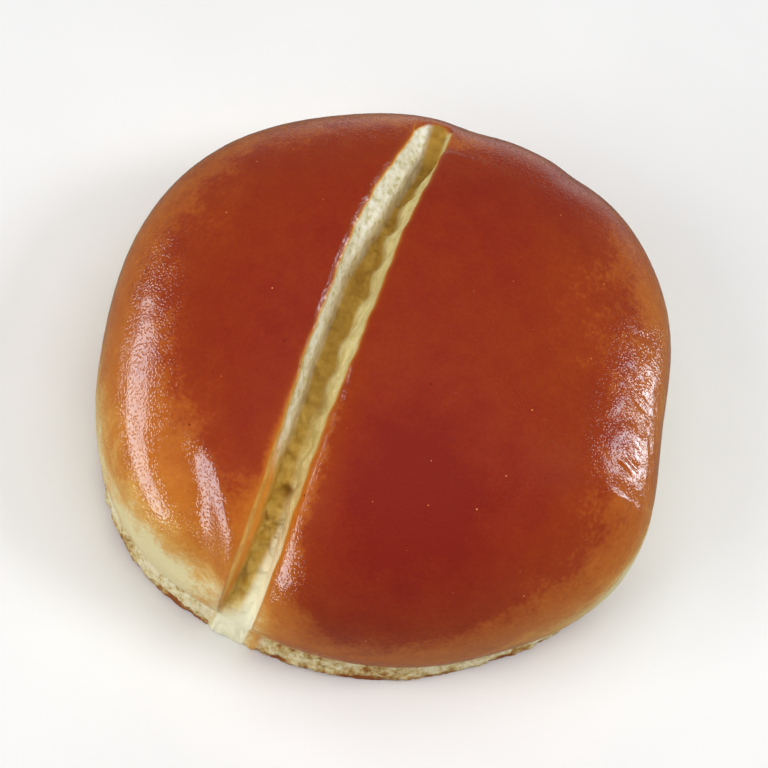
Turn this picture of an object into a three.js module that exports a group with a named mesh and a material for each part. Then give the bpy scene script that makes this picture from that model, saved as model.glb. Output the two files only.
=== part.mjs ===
// A split-top potato bun: one baked piece with a domed crown, a narrower foot and one cut along the crown.
// Millimetres, +Z up, origin under the middle of the flat base.
// X runs across the cut and Y along it, from the near end at -Y to the far end at +Y.
import * as THREE from 'three';
import { LoftGeometry } from 'three/addons/geometries/LoftGeometry.js';

const { clamp, degToRad, euclideanModulo, lerp, radToDeg, smoothstep } = THREE.MathUtils;

// Crown: a dome over a rounded-square ring, the bun's widest level
const CROWN_RADIUS = 49.6;
const HEIGHT = 45;
const WIDEST_LEVEL = 15.5;
const CROWN_FULLNESS = 2.7;
const CROWN_LOBES = [
  { waves: 2, swell: 0.6, toward: 23 },
  { waves: 3, swell: 0.2, toward: 71 },
  { waves: 4, swell: 1.2, toward: 57.5 },
];
const CROWN_SWELLS = [
  { toward: 105, reach: 14, swell: 1 },
  { toward: 70, reach: 12, swell: -0.3 },
  { toward: 10, reach: 17, swell: -1.9 },
  { toward: -20, reach: 12, swell: 0.7 },
  { toward: -45, reach: 18, swell: -2 },
  { toward: -75, reach: 22, swell: -0.9 },
  { toward: -108, reach: 20, swell: -2.4 },
  { toward: -140, reach: 18, swell: -0.6 },
  { toward: -170, reach: 18, swell: -0.7 },
];

// Foot: the narrower flat-based part that stood on the baking sheet, set off towards the near left
const FOOT_SHARE = 0.92;
const FOOT_WALL_SHARE = 0.025;
const FOOT_WALL_HEIGHT = 6;
const OVERHANG_CURVE = 1.5;
const FOOT_SHIFT = { x: -0.6, y: -2 };
const FOOT_SWELL = { level: 2.6, reach: 2.6, height: 0.7 };
const FOOT_CREASE = { level: 7, reach: 1.2, height: -0.5 };
const FOOT_CRAGS = [
  { waves: 13, height: 0.35, phase: 0.4 },
  { waves: 29, height: 0.22, phase: 1.9 },
];

// Cut: a groove from the near base over the crown, left of the middle, that bends to the right at both ends.
// At the near base its crumb bulges a little instead
const CUT_OFFSET = -10.8;
const CUT_NEAR_BEND = { start: 22, end: 46, shift: 0.6 };
const CUT_FAR_BEND = { start: 10, end: 46, shift: 2.85 };
const CUT_HALF_WIDTH = 3.85;
const CUT_NEAR_NARROWING = { start: 0, end: 33, loss: 0.2 };
const CUT_FAR_NARROWING = { start: 16, end: 46, loss: 0.22 };
const CUT_DEPTH = 6;
const CUT_DEPTH_AT_BASE = -0.3;
const CUT_FADE_NEAR = { low: 4, high: 26 };
const CUT_FADE_FAR = { start: 36, end: 43 };
const CUT_LEFT_WALL = { foot: -0.76, ledge: 0.4, drop: 0.2 };
const CUT_LEFT_WALL_NEAR = { start: 26, end: 34, shift: -0.15 };
const CUT_LEFT_WALL_FAR = { start: 5, end: 21, shift: 0.41 };
const CUT_RIGHT_WALL = { foot: 0.42, start: 30, end: 38, shift: 0.35 };
const CUT_CRUMB = { height: 0.6, pitch: 5.5, longPitch: 15, skew: 2 };
const LIP_ROLL = { drop: 0.9, reach: 3.5 };
const NEAR_RIGHT_ROLL = { drop: 1.9, reach: 3, start: 4, end: 18 };

// Shallow hollows and swellings that the crown has
const CROWN_DENTS = [
  { x: 42, y: -20, acrossX: 6, acrossY: 6, height: -0.6 },
  { x: 17, y: 42, acrossX: 3.5, acrossY: 5, height: -0.5 },
  { x: -1.5, y: 46, acrossX: 5, acrossY: 6, height: -0.5 },
  { x: 14, y: -6, acrossX: 15, acrossY: 18, height: 0.5 },
];

// The near left shoulder: a hollow that runs down to the near rim, and the ridge on its right
const SHOULDER_RIDGE = { fromX: -23.7, fromY: -30.5, toX: -15.3, toY: -43.1, across: 3.8, height: 1.3 };
const SHOULDER_RIDGE_ENDS = { start: 26, end: 34, low: 15, high: 22 };

// Slices across the bun, and points round each slice
const LEFT_SLICES = 22;
const CUT_SLICES = 11;
const RIGHT_SLICES = 29;
const TOP_STEPS = 48;
const HALF_BASE_STEPS = 21;
const TRACE_STEPS = 240;
const FOOT_SIDE_SLICES = 3;
const FLAT_BASE_WEIGHT = 0.3;
const FOOT_WALL_WEIGHT = 2.5;
const OUTLINE_SCAN_STEPS = 3600;
const BISECTION_STEPS = 40;

const CRUST_COLOUR = 0x9c3f1e;
const CRUST_ROUGHNESS = 0.38;

function bell(distance, reach) {
  return Math.exp(-((distance / reach) ** 2));
}

// Radius of the widest ring towards an angle in plan
function crownRadius(angle) {
  let radius = CROWN_RADIUS;
  for (const { waves, swell, toward } of CROWN_LOBES) {
    radius += swell * Math.cos(waves * (angle - degToRad(toward)));
  }
  for (const { toward, reach, swell } of CROWN_SWELLS) {
    const away = euclideanModulo(radToDeg(angle) - toward + 180, 360) - 180;
    radius += swell * bell(away, reach);
  }
  return radius;
}

// How far a point in plan lies from the middle, as a share of the widest ring
function ringShare(x, y) {
  return Math.hypot(x, y) / crownRadius(Math.atan2(y, x));
}

// Height of the dome over a point in plan
function topLevel(x, y) {
  const share = clamp(ringShare(x, y), 0, 1);
  const rise = (1 - share ** CROWN_FULLNESS) ** (1 / CROWN_FULLNESS);
  return WIDEST_LEVEL + (HEIGHT - WIDEST_LEVEL) * rise;
}

// Height of the underside: flat base, steep foot wall, then the overhang out to the widest ring
function underLevel(x, y) {
  const share = clamp(ringShare(x, y), 0, 1);
  const wall = smoothstep(share, FOOT_SHARE, FOOT_SHARE + FOOT_WALL_SHARE);
  const outward = clamp((share - FOOT_SHARE) / (1 - FOOT_SHARE), 0, 1);
  const overhang = 1 - Math.sqrt(1 - outward ** OVERHANG_CURVE);
  return FOOT_WALL_HEIGHT * wall + (WIDEST_LEVEL - FOOT_WALL_HEIGHT) * overhang;
}

// Middle line of the cut in plan, and half its width
function cutMiddle(y) {
  const near = CUT_NEAR_BEND.shift * smoothstep(-y, CUT_NEAR_BEND.start, CUT_NEAR_BEND.end);
  const far = CUT_FAR_BEND.shift * smoothstep(y, CUT_FAR_BEND.start, CUT_FAR_BEND.end);
  return CUT_OFFSET + near + far;
}

function cutHalfWidth(y) {
  const near = 1 - CUT_NEAR_NARROWING.loss * smoothstep(-y, CUT_NEAR_NARROWING.start, CUT_NEAR_NARROWING.end);
  const far = 1 - CUT_FAR_NARROWING.loss * smoothstep(y, CUT_FAR_NARROWING.start, CUT_FAR_NARROWING.end);
  return CUT_HALF_WIDTH * near * far;
}

// Depth of the cut along its run: a slight bulge at the near base, fading out before the far rim
function cutDepth(y, z) {
  const far = 1 - smoothstep(y, CUT_FADE_FAR.start, CUT_FADE_FAR.end);
  const rise = y < 0 ? smoothstep(z, CUT_FADE_NEAR.low, CUT_FADE_NEAR.high) : 1;
  return lerp(CUT_DEPTH_AT_BASE, CUT_DEPTH, rise) * far;
}

// Where the cut's left wall ends and its floor begins, as a share of the half width
function leftWallFoot(y) {
  const near = CUT_LEFT_WALL_NEAR.shift * smoothstep(-y, CUT_LEFT_WALL_NEAR.start, CUT_LEFT_WALL_NEAR.end);
  const far = CUT_LEFT_WALL_FAR.shift * smoothstep(y, CUT_LEFT_WALL_FAR.start, CUT_LEFT_WALL_FAR.end);
  return CUT_LEFT_WALL.foot + near + far;
}

// Where its floor ends and its right wall begins
function rightWallFoot(y) {
  const { foot, start, end, shift } = CUT_RIGHT_WALL;
  return foot + shift * smoothstep(y, start, end);
}

// Depth across the cut as a share of its full depth: a sloping left wall that ends in a step, then the floor
// and a steep right wall
function cutProfile(share, y) {
  const { ledge, drop } = CUT_LEFT_WALL;
  const leftFoot = leftWallFoot(y);
  const slope = ledge * clamp((share + 1) / (leftFoot + 1), 0, 1);
  const step = (1 - ledge) * smoothstep(share, leftFoot, leftFoot + drop);
  const right = clamp((1 - share) / (1 - rightWallFoot(y)), 0, 1);
  return Math.min(slope + step, right);
}

// Leftmost (side -1) or rightmost (side 1) point of the widest ring
function sidePoint(side) {
  let best = { x: 0, y: 0 };
  for (let step = 0; step < OUTLINE_SCAN_STEPS; step++) {
    const angle = (step / OUTLINE_SCAN_STEPS) * 2 * Math.PI;
    const x = crownRadius(angle) * Math.cos(angle);
    if (x * side > best.x * side) {
      best = { x, y: crownRadius(angle) * Math.sin(angle) };
    }
  }
  return best;
}

// A slice of a lobe eases from flat at the bun's side to the bend of the cut's lip
function lobeSlice(side, share) {
  const edge = sidePoint(side);
  return {
    middle: lerp(edge.y, 0, share),
    across: (y) => lerp(edge.x, cutMiddle(y) + side * cutHalfWidth(y), share),
    inCut: null,
  };
}

// A slice inside the cut stays at one share of the cut's half width
function cutSlice(share) {
  return { middle: 0, across: (y) => cutMiddle(y) + share * cutHalfWidth(y), inCut: share };
}

// Shares for the slices of a lobe: closer together where its side turns down, with some on the foot's wall
function lobeShares(side, count) {
  const edge = sidePoint(side).x;
  const lip = cutMiddle(0) + side * cutHalfWidth(0);
  const wall = [];
  for (let index = 0; index < FOOT_SIDE_SLICES; index++) {
    const ring = FOOT_SHARE + FOOT_WALL_SHARE * (index / (FOOT_SIDE_SLICES - 1));
    wall.push((edge * (1 - ring)) / (edge - lip));
  }
  const room = Math.abs(FOOT_WALL_SHARE * edge) / (FOOT_SIDE_SLICES - 1) / Math.abs(edge - lip);
  const shares = [...wall];
  for (let index = 0; index < count; index++) {
    const share = 1 - Math.cos(((index + 0.5) / count) * (Math.PI / 2));
    if (wall.every((taken) => Math.abs(share - taken) > room)) {
      shares.push(share);
    }
  }
  return shares.sort((first, second) => first - second);
}

// Slices from right to left
function allSlices() {
  const slices = lobeShares(1, RIGHT_SLICES).map((share) => lobeSlice(1, share));
  for (let index = 0; index < CUT_SLICES; index++) {
    slices.push(cutSlice(lerp(1, -1, index / (CUT_SLICES - 1))));
  }
  const left = lobeShares(-1, LEFT_SLICES).map((share) => lobeSlice(-1, share));
  return [...slices, ...left.reverse()];
}

// Where a slice reaches the widest ring, from its middle towards -Y or +Y
function sliceReach(slice, direction) {
  let inside = 0;
  let outside = 2 * CROWN_RADIUS;
  for (let step = 0; step < BISECTION_STEPS; step++) {
    const half = (inside + outside) / 2;
    const y = slice.middle + direction * half;
    if (ringShare(slice.across(y), y) < 1) {
      inside = half;
    } else {
      outside = half;
    }
  }
  return slice.middle + direction * inside;
}

// Points along a slice's dome or underside between two places, closer together near its ends
function trace(slice, fromY, toY, level) {
  const points = [];
  for (let step = 0; step <= TRACE_STEPS; step++) {
    const y = lerp(fromY, toY, (1 - Math.cos((step / TRACE_STEPS) * Math.PI)) / 2);
    const x = slice.across(y);
    points.push(new THREE.Vector3(x, y, level(x, y)));
  }
  return points;
}

// The flat base needs few points and the foot's wall many
function pointWeight(point) {
  const share = ringShare(point.x, point.y);
  if (share < FOOT_SHARE) {
    return FLAT_BASE_WEIGHT;
  }
  return point.z < FOOT_WALL_HEIGHT + FOOT_CREASE.reach ? FOOT_WALL_WEIGHT : 1;
}

// The same run of points set out in equal weighted steps, without its last point
function respace(points, steps, weight) {
  const reached = [0];
  for (let index = 1; index < points.length; index++) {
    const gap = points[index].distanceTo(points[index - 1]) * weight(points[index]);
    reached.push(reached[index - 1] + gap);
  }
  const spaced = [];
  let index = 1;
  for (let step = 0; step < steps; step++) {
    const wanted = (step / steps) * reached[reached.length - 1];
    while (reached[index] < wanted) {
      index++;
    }
    const part = (wanted - reached[index - 1]) / (reached[index] - reached[index - 1]);
    spaced.push(points[index - 1].clone().lerp(points[index], part));
  }
  return spaced;
}

// One closed loop round the bun: over the dome from near to far, then back along the underside
function sliceLoop(slice) {
  const near = sliceReach(slice, -1);
  const far = sliceReach(slice, 1);
  const middle = (near + far) / 2;
  const dome = respace(trace(slice, near, far, topLevel), TOP_STEPS, () => 1);
  const farBase = respace(trace(slice, far, middle, underLevel), HALF_BASE_STEPS, pointWeight);
  const nearBase = respace(trace(slice, middle, near, underLevel), HALF_BASE_STEPS, pointWeight);
  return [...dome, ...farBase, ...nearBase];
}

// Outward direction of the surface at a point of the grid of loops
function outward(loops, row, column) {
  const before = loops[Math.max(row - 1, 0)][column];
  const after = loops[Math.min(row + 1, loops.length - 1)][column];
  const loop = loops[row];
  const next = loop[(column + 1) % loop.length];
  const previous = loop[(column + loop.length - 1) % loop.length];
  const along = next.clone().sub(previous);
  const across = after.clone().sub(before);
  return along.cross(across).normalize();
}

// How far the crust rolls down near the cut: along both lips, and more along the near half of the right one
function lipRoll(point) {
  const fromMiddle = point.x - cutMiddle(point.y);
  const fromLip = Math.max(Math.abs(fromMiddle) - cutHalfWidth(point.y), 0);
  const along = smoothstep(-point.y, NEAR_RIGHT_ROLL.start, NEAR_RIGHT_ROLL.end);
  const onRight = fromMiddle > 0 || fromLip === 0 ? 1 : 0;
  const nearRight = NEAR_RIGHT_ROLL.drop * along * onRight * Math.exp(-fromLip / NEAR_RIGHT_ROLL.reach);
  return LIP_ROLL.drop * Math.exp(-fromLip / LIP_ROLL.reach) + nearRight;
}

// The hollow down the near left shoulder and the ridge on its right, ending inside the cut's lip
function ridgeRelief({ x, y, z }) {
  const { fromX, fromY, toX, toY, across, height } = SHOULDER_RIDGE;
  const line = lerp(fromX, toX, (y - fromY) / (toY - fromY));
  const beside = (x - line) / across;
  const along = smoothstep(-y, SHOULDER_RIDGE_ENDS.start, SHOULDER_RIDGE_ENDS.end);
  const above = smoothstep(z, SHOULDER_RIDGE_ENDS.low, SHOULDER_RIDGE_ENDS.high);
  const pastLip = smoothstep(x - cutMiddle(y), -cutHalfWidth(y), 0);
  return height * beside * Math.exp((1 - beside ** 2) / 2) * along * above * (1 - pastLip);
}

// Relief of the crown, fading out towards the foot: its dents, the ridge of its near left shoulder, and the crust
// that rolls down at the cut's lips
function crownRelief(point) {
  let height = ridgeRelief(point);
  for (const dent of CROWN_DENTS) {
    const away = Math.hypot((point.x - dent.x) / dent.acrossX, (point.y - dent.y) / dent.acrossY);
    height += dent.height * bell(away, 1);
  }
  height -= lipRoll(point) * (cutDepth(point.y, point.z) / CUT_DEPTH);
  return height * smoothstep(point.z, FOOT_WALL_HEIGHT, WIDEST_LEVEL);
}

// Relief of the cut: its walls and floor, with uneven torn crumb
function cutRelief(point, share) {
  const profile = cutProfile(share, point.y);
  const wave = Math.sin((2 * Math.PI * point.y) / CUT_CRUMB.pitch);
  const longWave = Math.sin((2 * Math.PI * point.y) / CUT_CRUMB.longPitch + CUT_CRUMB.skew * share);
  const crumb = CUT_CRUMB.height * wave * longWave;
  const depth = cutDepth(point.y, point.z);
  return (crumb * (depth / CUT_DEPTH) - depth) * profile;
}

// Relief of the foot: a craggy swelling above the base, and the crease under the overhang
function footRelief(point) {
  const angle = Math.atan2(point.y, point.x);
  let height = FOOT_CREASE.height * bell(point.z - FOOT_CREASE.level, FOOT_CREASE.reach);
  let swelling = FOOT_SWELL.height;
  for (const { waves, height: crag, phase } of FOOT_CRAGS) {
    swelling += crag * Math.sin(waves * angle + phase);
  }
  height += swelling * bell(point.z - FOOT_SWELL.level, FOOT_SWELL.reach);
  return height;
}

// The lower part leans so that the foot stands off the crown's middle
function lean(point) {
  const below = clamp(1 - point.z / WIDEST_LEVEL, 0, 1) ** 2;
  point.x += FOOT_SHIFT.x * below;
  point.y += FOOT_SHIFT.y * below;
  point.z = Math.max(point.z, 0);
}

// All loops with their relief pushed out along the surface
function reliefLoops() {
  const slices = allSlices();
  const loops = slices.map(sliceLoop);
  return loops.map((loop, row) => loop.map((point, column) => {
    const onDome = column <= TOP_STEPS;
    const onFlatBase = !onDome && ringShare(point.x, point.y) < FOOT_SHARE;
    let height = onFlatBase ? 0 : crownRelief(point) + footRelief(point);
    const share = slices[row].inCut;
    if (share !== null && !onFlatBase && (onDome || point.y < 0)) {
      height += cutRelief(point, share);
    }
    const moved = outward(loops, row, column).multiplyScalar(height).add(point);
    lean(moved);
    return moved;
  }));
}

// The closed body, moved so that the middle of its base is the origin
function bunGeometry() {
  const geometry = new LoftGeometry(reliefLoops(), { closed: true, capStart: true, capEnd: true });
  geometry.computeBoundingBox();
  const { min, max } = geometry.boundingBox;
  geometry.translate(-(min.x + max.x) / 2, -(min.y + max.y) / 2, -min.z);
  return geometry;
}

const crust = new THREE.MeshStandardMaterial({
  color: CRUST_COLOUR,
  roughness: CRUST_ROUGHNESS,
  metalness: 0,
});

const bun = new THREE.Mesh(bunGeometry(), crust);
bun.name = 'bun';

const group = new THREE.Group();
group.add(bun);

export default group;
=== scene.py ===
"""Looks of a split-top potato bun: glossy baked crust, torn crumb in the cut, toasted foot.

The bun's form is worked out in millimetres, X across the cut, Y along it and Z up, as in the solid that it
replaces. Blender's objects are in metres.
"""

import math

import bpy
import numpy as np
from mathutils import Matrix, Quaternion, Vector, noise


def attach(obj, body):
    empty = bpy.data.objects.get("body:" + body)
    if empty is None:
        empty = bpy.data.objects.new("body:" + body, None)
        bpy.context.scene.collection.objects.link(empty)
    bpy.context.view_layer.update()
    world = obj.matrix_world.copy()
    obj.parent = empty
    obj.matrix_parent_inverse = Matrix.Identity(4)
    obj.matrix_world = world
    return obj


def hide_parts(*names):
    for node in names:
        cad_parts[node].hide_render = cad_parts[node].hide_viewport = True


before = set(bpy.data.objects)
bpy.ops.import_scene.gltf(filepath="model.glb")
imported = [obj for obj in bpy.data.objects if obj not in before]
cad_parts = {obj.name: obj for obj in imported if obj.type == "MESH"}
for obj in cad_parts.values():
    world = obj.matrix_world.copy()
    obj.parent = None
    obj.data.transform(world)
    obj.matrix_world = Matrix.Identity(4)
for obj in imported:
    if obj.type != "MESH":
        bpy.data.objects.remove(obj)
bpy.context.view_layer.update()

METRES = 0.001

# Crown: a dome over a rounded-square ring, the bun's widest level, which swells or sinks towards some angles
CROWN_RADIUS = 49.6
HEIGHT = 45.0
WIDEST_LEVEL = 15.5
CROWN_FULLNESS = 2.7
CROWN_LOBES = (
    {"waves": 2, "swell": 0.6, "toward": 23},
    {"waves": 3, "swell": 0.2, "toward": 71},
    {"waves": 4, "swell": 1.2, "toward": 57.5},
)
CROWN_SWELLS = (
    {"toward": 105, "reach": 14, "swell": 1.0},
    {"toward": 70, "reach": 12, "swell": -0.3},
    {"toward": 10, "reach": 17, "swell": -1.9},
    {"toward": -20, "reach": 12, "swell": 0.7},
    {"toward": -45, "reach": 18, "swell": -2.0},
    {"toward": -75, "reach": 22, "swell": -0.9},
    {"toward": -108, "reach": 20, "swell": -2.4},
    {"toward": -140, "reach": 18, "swell": -0.6},
    {"toward": -170, "reach": 18, "swell": -0.7},
)

# Foot: the narrower, flat-based part. The cut and the crust beside its right lip run down over it
FOOT_SHARE = 0.92
FOOT_WALL_SHARE = 0.025
FOOT_WALL_HEIGHT = 6.0
OVERHANG_CURVE = 1.5
FOOT_SHIFT = (-0.6, -2.0)
FOOT_SWELL = {"level": 2.6, "reach": 2.6, "height": 0.7}
FOOT_CREASE = {"level": 7.0, "reach": 1.2, "height": -0.5}
FOOT_CRAGS = {"size": 1.8, "height": 0.6, "octaves": 3, "seed": 3}
FOOT_TOP_FADE = 1.4
LIP_SKIRT = {"left": (0.0, 0.8), "right": (1.4, 3.4)}

# Cut: a groove from the near base over the crown, left of the middle, that bends to the right at both ends
CUT_OFFSET = -10.8
CUT_BENDS = ({"along": (-22, -46), "shift": 0.6}, {"along": (10, 46), "shift": 2.85})
CUT_HALF_WIDTH = 3.85
CUT_NARROWING = ({"along": (0, -33), "loss": 0.2}, {"along": (16, 46), "loss": 0.22})
CUT_DEPTH = 6.0
CUT_DEPTH_AT_BASE = -0.3
CUT_FADE_NEAR = (4.0, 35.0)
CUT_FADE_FAR = (36.0, 43.0)
CUT_LEFT_WALL = {"foot": -0.76, "ledge": 0.4, "drop": 0.2}
CUT_LEFT_WALL_ENDS = ({"along": (-26, -34), "shift": -0.15}, {"along": (5, 21), "shift": 0.41})
CUT_RIGHT_WALL = {"foot": 0.42, "wander": 0.2, "pitch": 12.0}
CUT_RIGHT_WALL_FAR = {"along": (30, 38), "shift": 0.35, "calm": 0.7}
CUT_WANDER = {"middle": 0.16, "width": 0.12, "pitch": 14.0}
SWAY_BEAT = 0.61

# Crumb in the cut: its rounded far end, its edge, a burst bubble, its paler near end, its tears and scorch
CRUMB_FAR_END = {"at": 42.2, "round": 2.2, "lean": 1.0, "edge": 0.4}
CRUMB_EDGE = 0.25
CRUMB_BUBBLE = {"at": (-10.3, -33.0), "across": (0.9, 1.6), "height": -1.2}
CRUMB_RIGHT_SIDE = (-0.2, 0.3)
CRUMB_NEAR_END = (-34, -44)
TORN_CRUMB = {"below": 0.5, "depths": (0, 2)}
SCORCHED_WALL = {"edge": (0.3, 0.9), "along": (-20, -34), "levels": (5, 22)}

# Pit: the floor of the cut, where its painted shade goes, which narrows towards the near end and ends further
# down on the left
PIT_NEAR = (-6, -36)
PIT_NEAR_END = {"levels": (9, 19), "lean": 5.0}
PIT_LEFT_EDGE = {"before_foot": 0.1, "more": 0.25, "along": (-20, -34), "fade": 0.45}
PIT_RIGHT_EDGE = {"fade": 0.12, "near": (0.0, 0.45), "near_end_shift": -0.15}

# Crust that rolls down to the cut: along both lips, tighter at their edges, and more on the near right
LIP_ROLLS = (
    {"sides": (-1, 1), "drop": 0.8, "reach": 3.5, "until": None},
    {"sides": (-1, 1), "drop": 0.45, "reach": 0.5, "until": None},
    {"sides": (1,), "drop": 1.9, "reach": 3.0, "until": (-4, -18)},
)

# A sharp fold of the crust beside the far half of the left lip
LIP_FOLD = {"from": 0.25, "to": 0.9, "drop": 0.4, "along": (-8, 2)}

# Shallow hollows and swellings of the crown, the last a thin fold of skin
CROWN_DENTS = (
    {"at": (42, -20), "across": (6, 6), "height": -0.6},
    {"at": (17, 42), "across": (3.5, 5), "height": -0.5},
    {"at": (-1.5, 46), "across": (5, 6), "height": -0.5},
    {"at": (14, -6), "across": (15, 18), "height": 0.5},
    {"at": (-2, 35.2), "across": (4.5, 0.8), "height": 0.12},
)

# The near left shoulder: a hollow that runs down to the near rim, and the ridge on its right
SHOULDER_RIDGE = {"from": (-23.7, -30.5), "to": (-15.3, -43.1), "across": 3.8, "height": 1.3}
SHOULDER_RIDGE_ENDS = {"along": (-26, -34), "levels": (15, 22)}

# Short creases down the right shoulder, by angle in plan and levels, in skin that is finely crumpled
WRINKLES = (
    {"toward": 8.0, "levels": (31.8, 36.2)},
    {"toward": 10.5, "levels": (31.0, 35.0)},
    {"toward": -6.3, "levels": (34.6, 36.6)},
    {"toward": 1.3, "levels": (29.4, 32.5)},
    {"toward": -9.3, "levels": (35.4, 37.5)},
    {"toward": 25.0, "levels": (34.5, 38.1)},
)
WRINKLE_FORM = {"across": 0.5, "height": -0.15, "end": 0.6}
CRUMPLED_SKIN = {"toward": 0.0, "reach": 18, "level": 33.0, "rise": 6.0}
CRUMPLES = {"size": 2.6, "height": 0.17, "octaves": 2, "seed": 6}

# A fold below them, whose near side stands proud
FOLD = {"toward": -9.9, "slant": 0.47, "at_level": 27.0, "height": 0.15, "edge": (-0.4, 0.8), "reach": 6.0}
FOLD_LEVELS = {"low": (18, 23), "high": (36, 39)}

# Bake: how far the crust is browned, 0 at the widest ring and 1 on top, then more or less by lobe, at the
# near lips and in pale spots. Each by_side entry is an angle in plan, its reach in degrees and an amount
BAKE_LOBES = (
    {
        "side": -1, "all": 0.20, "from_middle": (0.55, 0.95), "from_base": (10, 20),
        "by_side": ((225, 29, -0.21), (250, 16, -0.09), (152, 18, -0.03), (120, 18, -0.10)),
    },
    {
        "side": 1, "all": 0.12, "from_middle": (0.1, 0.6), "from_base": (0, 1),
        "by_side": ((283, 45, 0.50), (278, 24, 0.05), (75, 28, 0.16), (39, 14, -0.07), (5, 25, -0.09)),
    },
)
UNDERSIDE_BAKE_LOSS = 0.1
NEAR_LIP_BAKE = {"level": 0.33, "base_level": 0.06, "rise": (16, 32), "pull": 0.8, "along": (0, -30)}
NEAR_LIP_REACH = {"left": 0.9, "right": 4.8}
PALE_SPOTS = (
    {"at": (46.0, -13.0, 18.0), "reach": 8.0, "loss": 0.40},
    {"at": (40.0, -25.0, 17.0), "reach": 8.0, "loss": 0.20},
    {"at": (-2.0, 38.5, 37.5), "reach": 4.5, "loss": 0.12},
    {"at": (-26.0, -41.0, 12.0), "reach": 6.0, "loss": 0.16},
)
LOBE_BLEND = (-1, 1)
LIP_EDGE = {"reach": 0.3, "depths": (0.2, 1.5), "past_end": (0.1, 0.9)}

# Colours as a screen shows them: crust by bake, its golden lips, dark specks and painted glints, the crumb in
# the cut and the foot
CRUST_COLOURS = (
    (0.04, (240, 225, 170)),
    (0.20, (230, 175, 90)),
    (0.35, (214, 138, 52)),
    (0.50, (200, 115, 38)),
    (0.69, (186, 98, 30)),
    (0.80, (172, 81, 24)),
    (0.90, (154, 57, 17)),
    (1.00, (147, 50, 15)),
    (1.18, (141, 41, 16)),
    (1.40, (131, 30, 16)),
)
LIP_COLOURS = ((0.0, (185, 85, 20)), (0.6, (205, 125, 40)), (1.0, (226, 175, 85)))
# The first are painted glints, bright dots that stand for gloss on the pores; the second are the crust's dark
# specks
GLINTS_AND_SPECKS = (
    {"pitch": 2.3, "radius": 0.07, "colour": (225, 150, 90)},
    {"pitch": 4.5, "radius": 0.07, "colour": (96, 24, 16)},
)
DOT_SHARE = 0.45
# The two walls are one crumb: the left painted whiter, as if in the key light from the right, the right
# painted yellower, as if lit only by warm bounce light
LEFT_WALL_LIT_COLOURS = ((0.33, (196, 188, 142)), (0.45, (226, 220, 190)), (0.6, (240, 237, 220)))
RIGHT_WALL_BOUNCE_COLOURS = ((0.3, (216, 200, 130)), (0.55, (236, 222, 160)), (0.7, (246, 237, 190)))
NEAR_END_COLOUR = (255, 249, 214)
# Painted shade: the deep, narrow floor of the cut painted darker and more olive than its walls, less so at
# its shallower near end
FAR_PIT_SHADE_COLOURS = ((0.3, (152, 112, 42)), (0.7, (186, 148, 66)))
NEAR_PIT_SHADE_COLOURS = ((0.35, (200, 158, 64)), (0.65, (226, 194, 106)))
# Painted shade in the hollow of the burst bubble
BUBBLE_SHADE_COLOUR = (160, 112, 38)
SCORCH_COLOUR = (226, 146, 54)
FOOT_COLOURS = (
    (0.28, (244, 234, 198)),
    (0.42, (222, 202, 146)),
    (0.54, (190, 152, 84)),
    (0.66, (156, 84, 32)),
)

# Mottles of these colours, by size in millimetres: patches of bake, and toasting low on the foot
BAKE_PATCHES = (
    {"size": 15.0, "amount": 0.08},
    {"size": 4.0, "amount": 0.065},
    {"size": 0.8, "amount": 0.055},
)
BAKE_PATCH_DETAIL = 3.0
BAKE_PATCH_SPAN = (0.3, 0.7)
CRUMB_MOTTLES = {"size": 1.3, "detail": 4.0, "roughness": 0.6}
PIT_MOTTLES = {"size": 2.0, "detail": 4.0}
FOOT_MOTTLES = {"size": 1.4, "detail": 4.0, "roughness": 0.7}
FOOT_TOASTING = {"levels": (0, 3.4), "amounts": (0.3, -0.08)}
FOOT_PATCHES = {"size": 9.0, "span": (0.35, 0.65), "amount": 0.12}

# Skin: smooth glaze with fine pores, shallower where taut and duller where pale, and beads on the left lip
PORE_PITCH = 0.5
PORE_SPAN = (0.12, 0.55)
PORE_DEPTH = 0.038
TAUT_SKIN = {"toward": 0.0, "reach": 32.0, "from_middle": (0.45, 0.75), "loss": 0.4}
LIP_BEADS = {"from_lip": 0.6, "reach": 0.6, "along": (-8, 2), "size": 0.7, "depth": 0.06}
SKIN_ROUGHNESS = {"glaze": 0.13, "pore": 0.24, "pale": 0.45}
PALE_BAKE = (0.1, 0.35)
SKIN_SPECULAR = 0.28
CRUMB_ROUGHNESS = 0.85
CRUMB_BUMP = {"size": 0.9, "detail": 4.0, "roughness": 0.7}
CRUMB_BUMP_DEPTH = 0.25

# Fine relief, in millimetres, and its noise: the shift by one seed, and how octaves fade and shrink
SEED_SHIFT = (17.3, 5.9, 11.1)
OCTAVE_FADE = 1.0
OCTAVE_STEP = 2.0
CRUST_UNDULATION = {"size": 16.0, "height": 0.12, "octaves": 2, "seed": 4}
CRUST_UNDULATION_LEVELS = (8, 16)
CRUST_GRAIN = {"size": 1.8, "height": 0.035, "octaves": 2, "seed": 5}
CRUMB_LUMPS = {"size": 2.8, "height": 1.1, "octaves": 3, "seed": 1}
CRUMB_GRAIN = {"size": 1.0, "height": 0.45, "octaves": 2, "seed": 2}

# Slices across the bun, and points round each slice
LEFT_SLICES = 103
CUT_SLICES = 52
RIGHT_SLICES = 143
LIP_CROWDING = {"extra": 2.5, "reach": 2.5}
TOP_STEPS = 240
HALF_BASE_STEPS = 45
TRACE_STEPS = 1200
FLAT_BASE_WEIGHT = 0.12
FOOT_WALL_WEIGHT = 2.5
OUTLINE_SCAN_STEPS = 3600
BISECTION_STEPS = 40

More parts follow.
